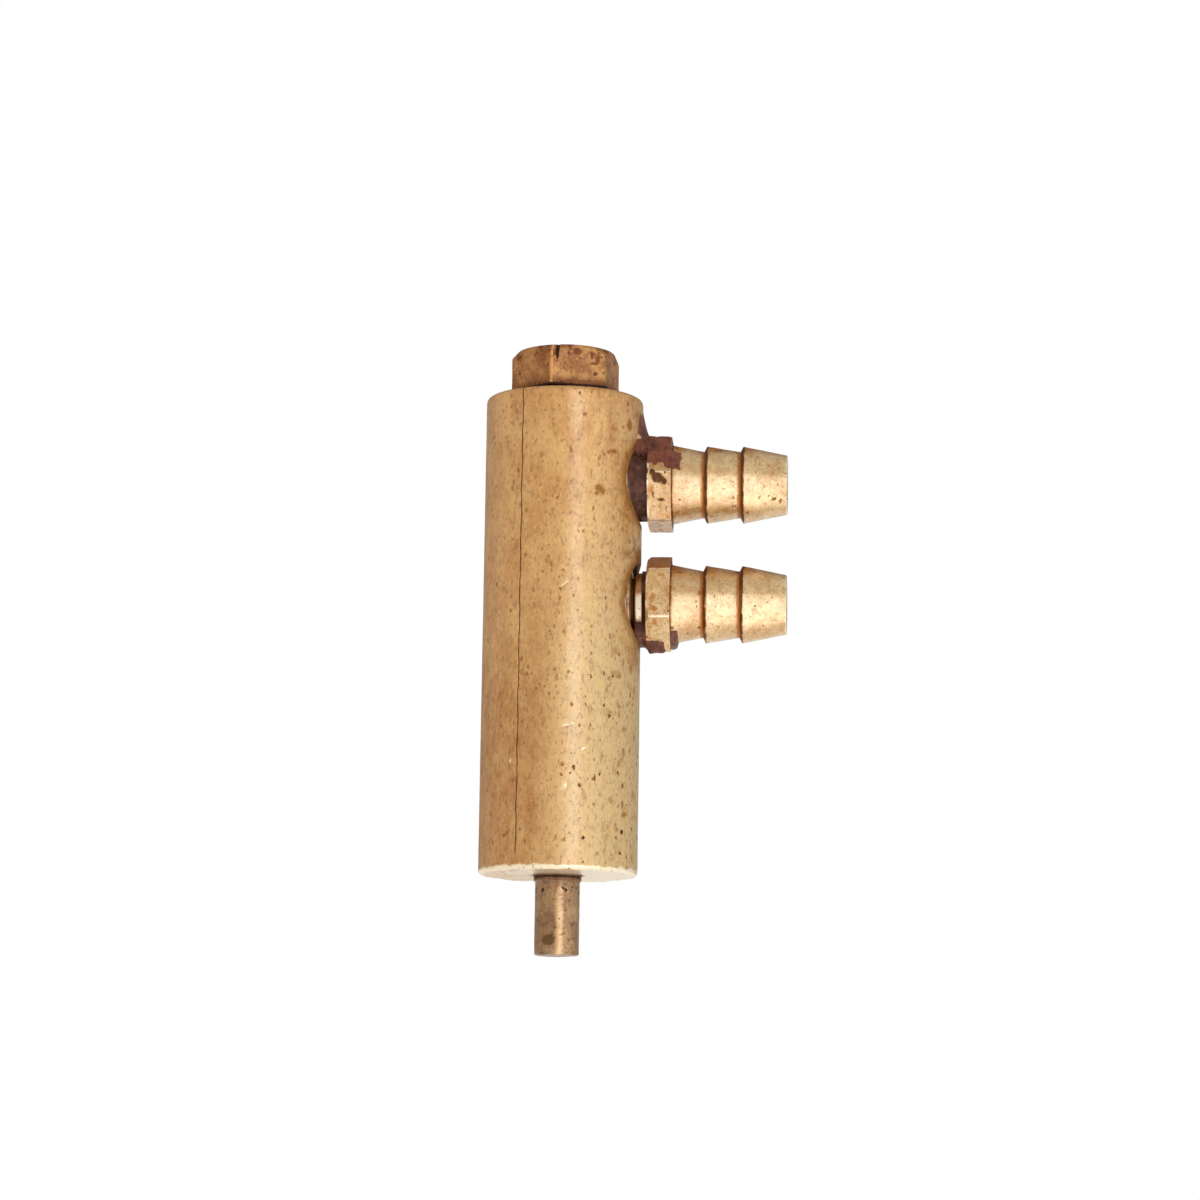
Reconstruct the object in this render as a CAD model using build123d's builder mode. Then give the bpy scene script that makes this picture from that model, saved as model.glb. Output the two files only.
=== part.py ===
"""Miniature brass push-pin valve with two hose barbs on one side.

Frame: millimetres, +Z up the barrel from the pin end to the hex plug, origin at the
centre of the barrel's lower face. Both barbs point along +X.
"""

import os

from build123d import *

os.makedirs("parts", exist_ok=True)

# ---------------------------------------------------------------- driving dimensions
# barrel
BARREL_D = 10.0
BARREL_LENGTH = 30.4
TOP_RIM_FILLET = 0.3
BASE_RIM_CHAMFER = 0.2
END_WALL = 2.6  # solid wall that guides the pin
SPOOL_BORE_D = 4.2
PLUG_SEAT_Z = 27.6  # the plug's thread starts here
PLUG_THREAD_D = 5.0
PIN_HOLE_D = 3.2

# ports
PORT_Z = {"upper": 24.95, "lower": 17.25}
HEX_CORNER_ANGLE = {"upper": -4.8, "lower": 22.5}  # from -Y, turning towards -Z
POCKET_D = 5.4
POCKET_FLOOR_X = 4.05
PORT_THREAD_D = 4.0
PORT_THREAD_FLOOR_X = 2.55
CROSS_HOLE_D = 1.2

# hose barb
BARB_BORE_D = 2.2
SHANK_CLEARANCE = 0.02
SHANK_END_X = 2.7
THREAD_PITCH = 0.7
THREAD_DEPTH = 0.35
FLANGE_X = 5.45
FLANGE_THICKNESS = 1.5
FLANGE_AF = 5.5
FLANGE_EDGE = 0.22
BARB_TIP_X = 14.25
# each ring of the barb: start, radius there, radius where the next ring starts
BARB_RINGS = [(6.95, 2.50, 2.10), (9.15, 2.46, 2.10), (11.45, 2.45, 1.88)]
RING_STEP = 0.18  # the step between two rings leans over this length
TIP_CHAMFER = 0.12

# port washer and thread sealant
WASHER_D = 5.2
WASHER_T = 0.4
SEALANT_D = {"upper": 5.3, "lower": 4.8}
CUFF_INNER_R = 3.2  # cured sealant lying over the upper hex
CUFF_OUTER_R = 3.36
CUFF_START_X = 5.04
CUFF_END_X = 6.95
CUFF_ARC = 150

# end plug and gasket
PLUG_AF = 6.2
PLUG_CORNER_ANGLE = 19.5
PLUG_TOP_Z = 33.45
PLUG_CHAMFER = 0.5
GASKET_T = 0.4
GASKET_D = 6.0
PLUG_POCKET_D = 3.4
PLUG_POCKET_TOP_Z = 32.6

# plunger, all heights at rest
STEM_D = 2.8
STEM_TIP_Z = -5.0
STEM_SHOULDER_Z = -0.4
JOURNAL_D = 3.12
LAND_D = 4.05
LOWER_LAND_Z = (2.62, 5.6)
UPPER_LAND_Z = (22.4, 24.6)
NECK_D = 2.4
SPIGOT_D = 2.0
SPIGOT_TOP_Z = 26.2
GROOVE_BOTTOM_D = 2.1
GROOVE_WIDTH = 1.2
SEAL_Z = {"lower": 4.3, "upper": 23.5}
SEAL_SECTION = 1.0
SEAL_OD = 4.14

# return spring
SPRING_OD = 3.1
SPRING_WIRE = 0.35
SPRING_TURNS = 8
SPRING_SEAT_GAP = 0.02

MID_PLANE = Plane.XZ  # sketches on it read (x, z)


def ring_section(outer_r, inner_r, start, end):
    """Closed rectangle of a ring's section, as (radius, height) corners."""
    return [(inner_r, start), (outer_r, start), (outer_r, end), (inner_r, end)]


def port_axis(port):
    """Axis of a port: along +X at the port's height."""
    return Axis((0, 0, PORT_Z[port]), (1, 0, 0))


# ---------------------------------------------------------------- valve body
with BuildPart() as valve_body:
    with BuildSketch(Plane.XY):
        Circle(BARREL_D / 2)
    extrude(amount=BARREL_LENGTH)
    fillet(valve_body.edges().group_by(Axis.Z)[-1], TOP_RIM_FILLET)
    chamfer(valve_body.edges().group_by(Axis.Z)[0], BASE_RIM_CHAMFER)
    # stepped bore: pin hole, spool bore, plug thread
    for diameter, start, end in [
        (PIN_HOLE_D, 0, END_WALL),
        (SPOOL_BORE_D, END_WALL, PLUG_SEAT_Z),
        (PLUG_THREAD_D, PLUG_SEAT_Z, BARREL_LENGTH),
    ]:
        with BuildSketch(Plane.XY.offset(start)):
            Circle(diameter / 2)
        extrude(amount=end - start, mode=Mode.SUBTRACT)
    # each port: spot-faced pocket, thread, then a cross hole into the spool bore
    for port in PORT_Z:
        for diameter, start, end in [
            (POCKET_D, POCKET_FLOOR_X, BARREL_D / 2 + 1),
            (PORT_THREAD_D, PORT_THREAD_FLOOR_X, POCKET_FLOOR_X),
            (CROSS_HOLE_D, 0, PORT_THREAD_FLOOR_X),
        ]:
            with BuildSketch(Plane(origin=(start, 0, PORT_Z[port]), z_dir=(1, 0, 0))):
                Circle(diameter / 2)
            extrude(amount=end - start, mode=Mode.SUBTRACT)
valve_body.part.label = "valve_body"
export_step(valve_body.part, "parts/valve_body.step")

# ---------------------------------------------------------------- end plug
with BuildPart() as end_plug:
    hex_base_z = BARREL_LENGTH + GASKET_T
    with BuildSketch(Plane.XY.offset(hex_base_z)):
        RegularPolygon(PLUG_AF / 2, 6, major_radius=False, rotation=PLUG_CORNER_ANGLE)
    extrude(amount=PLUG_TOP_Z - hex_base_z)
    # conical chamfer on the six corners of the top
    corner_r = PLUG_AF / 3**0.5
    with BuildSketch(MID_PLANE):
        with BuildLine():
            Polyline(
                (corner_r - PLUG_CHAMFER, PLUG_TOP_Z),
                (corner_r + 0.5, PLUG_TOP_Z),
                (corner_r + 0.5, PLUG_TOP_Z - PLUG_CHAMFER - 0.5),
                close=True,
            )
        make_face()
    revolve(axis=Axis.Z, mode=Mode.SUBTRACT)
    # threaded shank
    with BuildSketch(Plane.XY.offset(PLUG_SEAT_Z)):
        Circle(PLUG_THREAD_D / 2 - SHANK_CLEARANCE)
    extrude(amount=hex_base_z - PLUG_SEAT_Z)
    chamfer(end_plug.edges().group_by(Axis.Z)[0], 0.25)
    # blind pocket for the spring
    with BuildSketch(Plane.XY.offset(PLUG_SEAT_Z)):
        Circle(PLUG_POCKET_D / 2)
    extrude(amount=PLUG_POCKET_TOP_Z - PLUG_SEAT_Z, mode=Mode.SUBTRACT)
end_plug.part.label = "end_plug"
export_step(end_plug.part, "parts/end_plug.step")

# ---------------------------------------------------------------- plug gasket
with BuildPart() as plug_gasket:
    with BuildSketch(Plane.XY.offset(BARREL_LENGTH)):
        Circle(GASKET_D / 2)
        Circle(PLUG_THREAD_D / 2 + 0.02, mode=Mode.SUBTRACT)
    extrude(amount=GASKET_T)
plug_gasket.part.label = "plug_gasket"
export_step(plug_gasket.part, "parts/plug_gasket.step")

# ---------------------------------------------------------------- plunger
with BuildPart() as plunger:
    land_r, neck_r = LAND_D / 2, NECK_D / 2
    outline = [
        (0, STEM_TIP_Z),
        (STEM_D / 2 - 0.12, STEM_TIP_Z),
        (STEM_D / 2, STEM_TIP_Z + 0.12),
        (STEM_D / 2, STEM_SHOULDER_Z),
        (JOURNAL_D / 2, STEM_SHOULDER_Z + 0.3),
        (JOURNAL_D / 2, LOWER_LAND_Z[0]),
        (land_r, LOWER_LAND_Z[0]),
        (land_r, LOWER_LAND_Z[1]),
        (neck_r, LOWER_LAND_Z[1]),
        (neck_r, UPPER_LAND_Z[0]),
        (land_r, UPPER_LAND_Z[0]),
        (land_r, UPPER_LAND_Z[1]),
        (SPIGOT_D / 2, UPPER_LAND_Z[1]),
        (SPIGOT_D / 2, SPIGOT_TOP_Z - 0.15),
        (SPIGOT_D / 2 - 0.15, SPIGOT_TOP_Z),
        (0, SPIGOT_TOP_Z),
    ]
    with BuildSketch(MID_PLANE):
        with BuildLine():
            Polyline(*outline, close=True)
        make_face()
    revolve(axis=Axis.Z)
    # one seal groove in each land
    for seal_z in SEAL_Z.values():
        with BuildSketch(MID_PLANE):
            with BuildLine():
                Polyline(
                    *ring_section(
                        LAND_D / 2 + 0.2,
                        GROOVE_BOTTOM_D / 2,
                        seal_z - GROOVE_WIDTH / 2,
                        seal_z + GROOVE_WIDTH / 2,
                    ),
                    close=True,
                )
            make_face()
        revolve(axis=Axis.Z, mode=Mode.SUBTRACT)
plunger.part.label = "plunger"
export_step(plunger.part, "parts/plunger.step")

# ---------------------------------------------------------------- spool seals
for end, seal_z in SEAL_Z.items():
    with BuildPart() as spool_seal:
        with BuildSketch(MID_PLANE):
            with Locations((SEAL_OD / 2 - SEAL_SECTION / 2, seal_z)):
                Circle(SEAL_SECTION / 2)
        revolve(axis=Axis.Z)
    spool_seal.part.label = f"{end}_spool_seal"
    export_step(spool_seal.part, f"parts/{end}_spool_seal.step")

# ---------------------------------------------------------------- return spring
with BuildPart() as return_spring:
    coil_start = UPPER_LAND_Z[1] + SPRING_WIRE / 2 + SPRING_SEAT_GAP
    coil_end = PLUG_POCKET_TOP_Z - SPRING_WIRE / 2 - SPRING_SEAT_GAP
    coil_r = (SPRING_OD - SPRING_WIRE) / 2
    with BuildLine() as coil:
        Helix(
            pitch=(coil_end - coil_start) / SPRING_TURNS,
            height=coil_end - coil_start,
            radius=coil_r,
            center=(0, 0, coil_start),
        )
    with BuildSketch(Plane(origin=coil.line @ 0, z_dir=coil.line % 0)):
        Circle(SPRING_WIRE / 2)
    sweep(path=coil.line, is_frenet=True)
return_spring.part.label = "return_spring"
export_step(return_spring.part, "parts/return_spring.step")


# ---------------------------------------------------------------- hose barbs
def barb_outline(port_z):
    """Half section of a barb fitting above its axis, as (x, z) points, thread end first."""
    bore_r = BARB_BORE_D / 2
    crest_r = PORT_THREAD_D / 2 - SHANK_CLEARANCE
    root_r = crest_r - THREAD_DEPTH
    points = [(SHANK_END_X, bore_r), (SHANK_END_X, root_r)]
    # thread drawn as plain rings, one per pitch, up to the flange
    x = SHANK_END_X + 0.05
    while x + THREAD_PITCH < FLANGE_X:
        points += [
            (x, root_r),
            (x + 0.30 * THREAD_PITCH, crest_r),
            (x + 0.55 * THREAD_PITCH, crest_r),
            (x + 0.85 * THREAD_PITCH, root_r),
        ]
        x += THREAD_PITCH
    points += [(FLANGE_X, root_r), (FLANGE_X, BARB_RINGS[0][1])]
    for index, (start_x, start_r, end_r) in enumerate(BARB_RINGS):
        points.append((start_x, start_r))
        if index + 1 < len(BARB_RINGS):
            points.append((BARB_RINGS[index + 1][0] - RING_STEP, end_r))
        else:
            points.append((BARB_TIP_X - TIP_CHAMFER, end_r + 0.02))
            points.append((BARB_TIP_X, end_r - TIP_CHAMFER))
    points.append((BARB_TIP_X, bore_r))
    return [(x, port_z + r) for x, r in points]


for port, port_z in PORT_Z.items():
    with BuildPart() as hose_barb:
        with BuildSketch(MID_PLANE):
            with BuildLine():
                Polyline(*barb_outline(port_z), close=True)
            make_face()
        revolve(axis=port_axis(port))
        # hex flange, with the bore kept open and its body-side corners turned off
        flange_plane = Plane(
            origin=(FLANGE_X, 0, port_z), x_dir=(0, -1, 0), z_dir=(1, 0, 0)
        )
        with BuildSketch(flange_plane):
            RegularPolygon(
                FLANGE_AF / 2, 6, major_radius=False, rotation=HEX_CORNER_ANGLE[port]
            )
            Circle(BARB_BORE_D / 2 + 0.4, mode=Mode.SUBTRACT)
        extrude(amount=FLANGE_THICKNESS)
        corner_r = FLANGE_AF / 3**0.5
        with BuildSketch(MID_PLANE):
            with BuildLine():
                Polyline(
                    (FLANGE_X, port_z + corner_r - FLANGE_EDGE),
                    (FLANGE_X, port_z + corner_r + 0.3),
                    (FLANGE_X + FLANGE_EDGE + 0.3, port_z + corner_r + 0.3),
                    close=True,
                )
            make_face()
        revolve(axis=port_axis(port), mode=Mode.SUBTRACT)
    hose_barb.part.label = f"{port}_barb"
    export_step(hose_barb.part, f"parts/{port}_barb.step")

# ---------------------------------------------------------------- port washers
for port, port_z in PORT_Z.items():
    with BuildPart() as port_washer:
        with BuildSketch(Plane(origin=(POCKET_FLOOR_X, 0, port_z), z_dir=(1, 0, 0))):
            Circle(WASHER_D / 2)
            Circle(PORT_THREAD_D / 2 + 0.03, mode=Mode.SUBTRACT)
        extrude(amount=WASHER_T)
    port_washer.part.label = f"{port}_port_washer"
    export_step(port_washer.part, f"parts/{port}_port_washer.step")

# ---------------------------------------------------------------- thread sealant
for port, port_z in PORT_Z.items():
    with BuildPart() as thread_sealant:
        start_x = POCKET_FLOOR_X + WASHER_T
        with BuildSketch(Plane(origin=(start_x, 0, port_z), z_dir=(1, 0, 0))):
            Circle(SEALANT_D[port] / 2)
            Circle(PORT_THREAD_D / 2, mode=Mode.SUBTRACT)
        extrude(amount=FLANGE_X - start_x)
        if port == "upper":
            # cured overflow: a cuff over the top of the hex, joined to the ring below it
            start_plane = Plane(origin=(0, 0, port_z), x_dir=(1, 0, 0), z_dir=(0, -1, 0))
            start_plane = start_plane.rotated((-CUFF_ARC / 2, 0, 0))
            with BuildSketch(start_plane):
                with BuildLine():
                    Polyline(
                        (CUFF_START_X, SEALANT_D[port] / 2 - 0.2),
                        (CUFF_START_X, CUFF_OUTER_R),
                        (CUFF_END_X, CUFF_OUTER_R),
                        (CUFF_END_X, CUFF_INNER_R),
                        (FLANGE_X - 0.02, CUFF_INNER_R),
                        (FLANGE_X - 0.02, SEALANT_D[port] / 2 - 0.2),
                        close=True,
                    )
                make_face()
            revolve(axis=port_axis(port), revolution_arc=CUFF_ARC)
    thread_sealant.part.label = f"{port}_thread_sealant"
    export_step(thread_sealant.part, f"parts/{port}_thread_sealant.step")
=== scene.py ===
"""Looks of the brass push-pin valve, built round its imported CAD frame.

Row frame: +Z up the barrel to the hexagon plug, +X along the hose barbs, the camera in
front at -Y. Mesh code works in millimetres and writes metres.
"""

import math

import bmesh
import bpy
import numpy as np
from mathutils import Matrix, Vector, noise


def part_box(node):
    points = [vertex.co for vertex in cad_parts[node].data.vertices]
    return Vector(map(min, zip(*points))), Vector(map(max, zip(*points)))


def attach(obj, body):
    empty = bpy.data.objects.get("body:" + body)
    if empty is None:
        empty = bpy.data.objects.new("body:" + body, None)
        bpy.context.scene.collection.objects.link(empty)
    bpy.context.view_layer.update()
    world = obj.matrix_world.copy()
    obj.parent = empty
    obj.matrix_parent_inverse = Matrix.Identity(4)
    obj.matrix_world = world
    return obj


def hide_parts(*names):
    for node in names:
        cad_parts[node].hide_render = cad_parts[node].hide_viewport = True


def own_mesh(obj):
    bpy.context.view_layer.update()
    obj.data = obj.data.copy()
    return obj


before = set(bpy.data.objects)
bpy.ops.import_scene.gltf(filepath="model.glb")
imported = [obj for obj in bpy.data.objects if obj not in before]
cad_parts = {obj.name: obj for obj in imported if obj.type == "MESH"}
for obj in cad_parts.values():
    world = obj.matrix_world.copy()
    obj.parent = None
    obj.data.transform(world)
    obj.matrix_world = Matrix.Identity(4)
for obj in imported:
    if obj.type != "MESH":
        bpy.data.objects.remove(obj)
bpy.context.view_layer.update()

MM = 0.001
UP = np.array((0.0, 0.0, 1.0))


# ---- sizes from the frame
def box_mm(node):
    """Lowest and highest corner of a CAD node, in millimetres."""
    low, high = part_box(node)
    return np.array(low) / MM, np.array(high) / MM


def centre_mm(node):
    low, high = box_mm(node)
    return (low + high) / 2


BARREL_R = box_mm("valve_body")[1][0]
BARREL_TOP = box_mm("valve_body")[1][2]
PLUG_TOP = box_mm("end_plug")[1][2]
SHANK_BOTTOM = box_mm("end_plug")[0][2]
HEX_BOTTOM = box_mm("plug_gasket")[1][2]
STEM_TIP = box_mm("plunger")[0][2]
SPIGOT_TOP = box_mm("plunger")[1][2]
BARB_END = box_mm("upper_barb")[1][0]
SHANK_END = box_mm("upper_barb")[0][0]
WASHER_LOW, WASHER_HIGH = box_mm("upper_port_washer")
PORT_Z = {port: centre_mm(f"{port}_port_washer")[2] for port in ("upper", "lower")}

# the rest of the sizes repeat the CAD source's
PIN_HOLE_R = 1.6
SPOOL_BORE_R = 2.1
END_WALL = 2.6
PLUG_SEAT = 27.6
PLUG_THREAD_R = 2.5
PORT_THREAD_R = 2.0
PORT_THREAD_FLOOR = 2.55
POCKET_R = 2.7
CROSS_HOLE_R = 0.6
WASHER_R = 2.6
PLUG_AF = 6.2
PLUG_CORNER = 19.5
PLUG_POCKET_R = 1.7
PLUG_POCKET_TOP = 32.6
FLANGE_X = (5.45, 6.95)
FLANGE_AF = 5.5
HEX_CORNER = {"upper": -4.8, "lower": 22.5}
BARB_BORE_R = 1.1
THREAD_PITCH = 0.7
# each barb ring: where it starts, its radius there and at its end
BARB_RINGS = [(6.95, 2.50, 2.10), (9.15, 2.46, 2.10), (11.45, 2.45, 1.88)]
STEM_R = 1.4
JOURNAL_R = 1.5
SHOULDER_Z = -0.34
LAND_R = 2.025
NECK_R = 1.2
SPIGOT_R = 1.0
LOWER_LAND = (2.62, 5.6)
UPPER_LAND = (22.4, 24.6)
SEAL_GROOVE_R = 1.05
SEAL_GROOVE_HALF = 0.6
SEAL_Z = (4.3, 23.5)
SPRING_WIRE_R = 0.175
SPRING_TURNS = 8


# ---- mesh helpers
def smooth(low, high, x):
    """0 below low, 1 above high, smooth in between."""
    t = np.clip((x - low) / (high - low), 0, 1)
    return t * t * (3 - 2 * t)


def bell(x, width):
    return np.exp(-((x / width) ** 2))


def around(angle, other):
    """Degrees from other to angle, the short way."""
    return (angle - other + 180) % 360 - 180


def arc(angle, other, radius):
    """The same as a distance in mm on a cylinder of that radius."""
    return around(angle, other) * math.pi / 180 * radius


def leaning(across, up, lean):
    """Distances along and beside a mark that leans by that many degrees."""
    cos, sin = math.cos(math.radians(lean)), math.sin(math.radians(lean))
    return across * cos + up * sin, up * cos - across * sin


def patch(x, angle, x_centre, x_half, angle_centre, angle_half):
    """1 in the middle of a soft-edged patch, 0 outside it."""
    along = smooth(1.25, 0.75, np.abs(x - x_centre) / x_half)
    turned = smooth(1.25, 0.75, np.abs(around(angle, angle_centre)) / angle_half)
    return along * turned


def round_z(radius, angle, height):
    """Points round the barrel's axis."""
    turn = np.radians(angle)
    return np.stack([radius * np.cos(turn), radius * np.sin(turn), height], -1)


def round_x(x, radius, angle):
    """Points round an axis along X, where noise for a port's pieces is read."""
    turn = np.radians(angle)
    return np.stack([x, radius * np.cos(turn), radius * np.sin(turn)], -1)


def polar_z(at):
    """Radius and angle of points round the barrel's axis."""
    return np.hypot(at[:, 0], at[:, 1]), np.degrees(np.arctan2(at[:, 1], at[:, 0]))


def polar_x(at, level):
    """Radius and angle of points round a port's axis: 0 faces the camera, -90 is up."""
    up = at[:, 2] - level
    return np.hypot(at[:, 1], up), np.degrees(np.arctan2(-up, -at[:, 1]))


def cloud(points, size, seed, octaves=2):
    """Smooth noise, about -1 to 1, at points in mm, with lumps of that size."""
    flat = np.asarray(points, float).reshape(-1, 3) / size + seed * 17.31
    out = np.zeros(len(flat))
    for k in range(octaves):
        step = 2.0**k
        out += np.array([noise.noise(Vector(p * step)) for p in flat]) / step
    return out.reshape(np.shape(points)[:-1])


def arc_outline(corners, step, closed=True):
    """Dense outline through corners (a, b, radius), each corner rounded to its radius."""
    points = []
    count = len(corners)
    for i, (a, b, radius) in enumerate(corners):
        here = np.array((a, b), float)
        if not closed and i in (0, count - 1):
            points.append(here)
            continue
        back = np.array(corners[i - 1][:2]) - here
        ahead = np.array(corners[(i + 1) % count][:2]) - here
        back_length, ahead_length = np.linalg.norm(back), np.linalg.norm(ahead)
        back, ahead = back / back_length, ahead / ahead_length
        half = math.acos(np.clip(back @ ahead, -1, 1)) / 2
        reach = min(radius / math.tan(half), 0.45 * back_length, 0.45 * ahead_length)
        for s in np.linspace(0, 1, 5):
            mix = (1 - s) ** 2 * back + s**2 * ahead
            points.append(here + reach * mix)
    dense = []
    for i, p in enumerate(points):
        if not closed and i == len(points) - 1:
            dense.append(p)
            break
        q = points[(i + 1) % len(points)]
        parts = max(1, math.ceil(np.linalg.norm(q - p) / step))
        dense += [p + (q - p) * k / parts for k in range(parts)]
    return np.array(dense)


def columns(step, fine=()):
    """Angles in degrees round a turn, closer together in each (centre, half width, step)."""
    angles = list(np.arange(-180, 180, step))
    for centre, half, small in fine:
        angles = [a for a in angles if abs((a - centre + 180) % 360 - 180) > half]
        angles += list(np.arange(centre - half, centre + half + small / 2, small))
    return np.array(sorted((a + 180) % 360 - 180 for a in angles))


def hex_radius(angles, flats, corner, sharpness=50):
    """Distance to a hexagon's side at each angle, with slightly softened corners."""
    total = 0
    for k in range(6):
        facing = np.cos(np.radians(angles - corner - 30 - 60 * k))
        total = total + np.clip(facing, 0, None) ** sharpness
    return flats / 2 / total ** (1 / sharpness)


def revolve(name, outline, angles, shape, axis="Z", centre=(0, 0, 0)):
    """A turned mesh. outline is a closed loop of (radius, height), or an open one between two
    points on the axis. shape(radius, height, angle) returns the radius and height to use."""
    poles = abs(outline[0][0]) < 1e-9 and abs(outline[-1][0]) < 1e-9
    rings = outline[1:-1] if poles else outline
    radius, angle = np.meshgrid(rings[:, 0], angles, indexing="ij")
    height = np.meshgrid(rings[:, 1], angles, indexing="ij")[0]
    radius, height = shape(radius, height, angle)
    turn = np.radians(angle)
    if axis == "Z":
        spots = [radius * np.cos(turn), radius * np.sin(turn), height]
    else:  # angle 0 faces the camera and grows downwards
        spots = [height, -radius * np.cos(turn), -radius * np.sin(turn)]
    verts = np.stack(spots, -1).reshape(-1, 3) + np.array(centre)
    row_count, column_count = radius.shape
    index = np.arange(row_count * column_count).reshape(row_count, column_count)
    faces = []
    for i in range(row_count if not poles else row_count - 1):
        this, following = index[i], index[(i + 1) % row_count]
        faces += zip(this, np.roll(this, -1), np.roll(following, -1), following)
    verts = list(map(tuple, verts * MM))
    faces = [tuple(map(int, f)) for f in faces]
    if poles:
        for ring, (_, pole_height) in ((index[0], outline[0]), (index[-1], outline[-1])):
            offset = (0, 0, pole_height) if axis == "Z" else (pole_height, 0, 0)
            verts.append(tuple((np.array(centre) + offset) * MM))
            faces += [(int(a), int(b), len(verts) - 1) for a, b in zip(ring, np.roll(ring, -1))]
    return new_piece(name, verts, faces)


def new_piece(name, verts, faces):
    """An object with that mesh, its faces turned outwards."""
    mesh = bpy.data.meshes.new(name)
    mesh.from_pydata(verts, [], faces)
    bm = bmesh.new()
    bm.from_mesh(mesh)
    bmesh.ops.recalc_face_normals(bm, faces=bm.faces)
    bm.to_mesh(mesh)
    bm.free()
    return add_object(name, mesh)


def add_object(name, data):
    added = bpy.data.objects.new(name, data)
    bpy.context.scene.collection.objects.link(added)
    return added


def apply_modifiers(piece):
    """Replaces a piece's mesh by the one its modifiers make."""
    graph = bpy.context.evaluated_depsgraph_get()
    made = bpy.data.meshes.new_from_object(piece.evaluated_get(graph))
    old = piece.data
    piece.modifiers.clear()
    piece.data = made
    bpy.data.meshes.remove(old)


def cut(piece, cutter):
    """Takes the cutter's volume out of the piece."""
    modifier = piece.modifiers.new("cut", "BOOLEAN")
    modifier.operation = "DIFFERENCE"
    modifier.solver = "EXACT"
    modifier.object = cutter
    apply_modifiers(piece)
    bpy.data.objects.remove(cutter)


def shade(piece, crease=38):
    """Smooth shading, with edges sharper than crease degrees kept crisp."""
    piece.data.shade_smooth()
    piece.data.set_sharp_from_angle(angle=math.radians(crease))


def points_mm(piece):
    co = np.zeros(len(piece.data.vertices) * 3, np.float32)
    piece.data.vertices.foreach_get("co", co)
    return co.reshape(-1, 3).astype(float) / MM


def paint(piece, name, *values):
    """Stores one number per vertex, 0 to 1, for the material to read: the largest of values."""
    layer = piece.data.attributes.new(name, "FLOAT", "POINT")
    layer.data.foreach_set("value", np.clip(np.max(values, 0), 0, 1).astype(np.float32))


# ---- material helpers
class Nodes:
    """A node tree with one short call per node."""

    def __init__(self, tree):
        self.tree = tree
        tree.nodes.clear()

    def add(self, kind, inputs=None, **settings):
        node = self.tree.nodes.new(kind)
        for key, value in settings.items():
            setattr(node, key, value)
        for key, value in (inputs or {}).items():
            socket = node.inputs[key]
            if isinstance(value, bpy.types.NodeSocket):
                self.tree.links.new(value, socket)
            else:
                socket.default_value = value
        return node

    def maths(self, operation, a, b=0.0, c=0.0, clamp=False):
        node = self.add("ShaderNodeMath", {0: a, 1: b, 2: c}, operation=operation)
        node.use_clamp = clamp
        return node.outputs[0]

    def vector(self, operation, inputs):
        return self.add("ShaderNodeVectorMath", inputs, operation=operation).outputs[0]

    def place(self, stretch=(1, 1, 1)):
        """Object coordinates in mm, each divided by its stretch."""
        coordinates = self.add("ShaderNodeTexCoord").outputs["Object"]
        scale = [1 / MM / s for s in stretch]
        mapped = self.add("ShaderNodeMapping", {"Vector": coordinates, "Scale": scale})
        return mapped.outputs["Vector"]

    def clouds(self, size, stretch=(1, 1, 1), detail=3.0, rough=0.55, warp=0.0, seed=0.0):
        """Noise from 0 to 1 with lumps of that size in mm."""
        inputs = {"Vector": self.place(stretch), "W": seed, "Scale": 1 / size}
        inputs |= {"Detail": detail, "Roughness": rough, "Distortion": warp}
        return self.add("ShaderNodeTexNoise", inputs, noise_dimensions="4D").outputs["Fac"]

    def band(self, value, low, high, to_low=0.0, to_high=1.0):
        """value mapped smoothly from low..high to to_low..to_high."""
        inputs = {"Value": value, "From Min": low, "From Max": high}
        inputs |= {"To Min": to_low, "To Max": to_high}
        node = self.add("ShaderNodeMapRange", inputs, interpolation_type="SMOOTHSTEP")
        return node.outputs["Result"]

    def layer(self, name):
        """A number painted on the mesh."""
        return self.add("ShaderNodeAttribute", attribute_name=name).outputs["Fac"]

    def mix(self, share, a, b, blend="MIX"):
        """Colour a, with b over it by share."""
        node = self.add("ShaderNodeMix", data_type="RGBA", blend_type=blend)
        for socket, value in ((node.inputs[0], share), (node.inputs[6], a), (node.inputs[7], b)):
            if isinstance(value, bpy.types.NodeSocket):
                self.tree.links.new(value, socket)
            elif socket.type == "RGBA":
                socket.default_value = (*value[:3], 1)
            else:
                socket.default_value = value
        return node.outputs[2]

    def surface(self, inputs, relief=None):
        """The shader and the output. relief is (height, strength, depth in mm)."""
        if relief:
            height, strength, depth = relief
            bump = {"Height": height, "Strength": strength, "Distance": depth * MM}
            inputs["Normal"] = self.add("ShaderNodeBump", bump).outputs["Normal"]
        shader = self.add("ShaderNodeBsdfPrincipled", inputs).outputs["BSDF"]
        self.add("ShaderNodeOutputMaterial", {"Surface": shader})


def new_material(name):
    material = bpy.data.materials.new(name)
    material.use_nodes = True
    return material, Nodes(material.node_tree)


def srgb(red, green, blue):
    """A colour given as 0-255 screen values, as the linear one that nodes use."""
    levels = [c / 255 for c in (red, green, blue)]
    return tuple(c / 12.92 if c <= 0.04045 else ((c + 0.055) / 1.055) ** 2.4 for c in levels)


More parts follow.
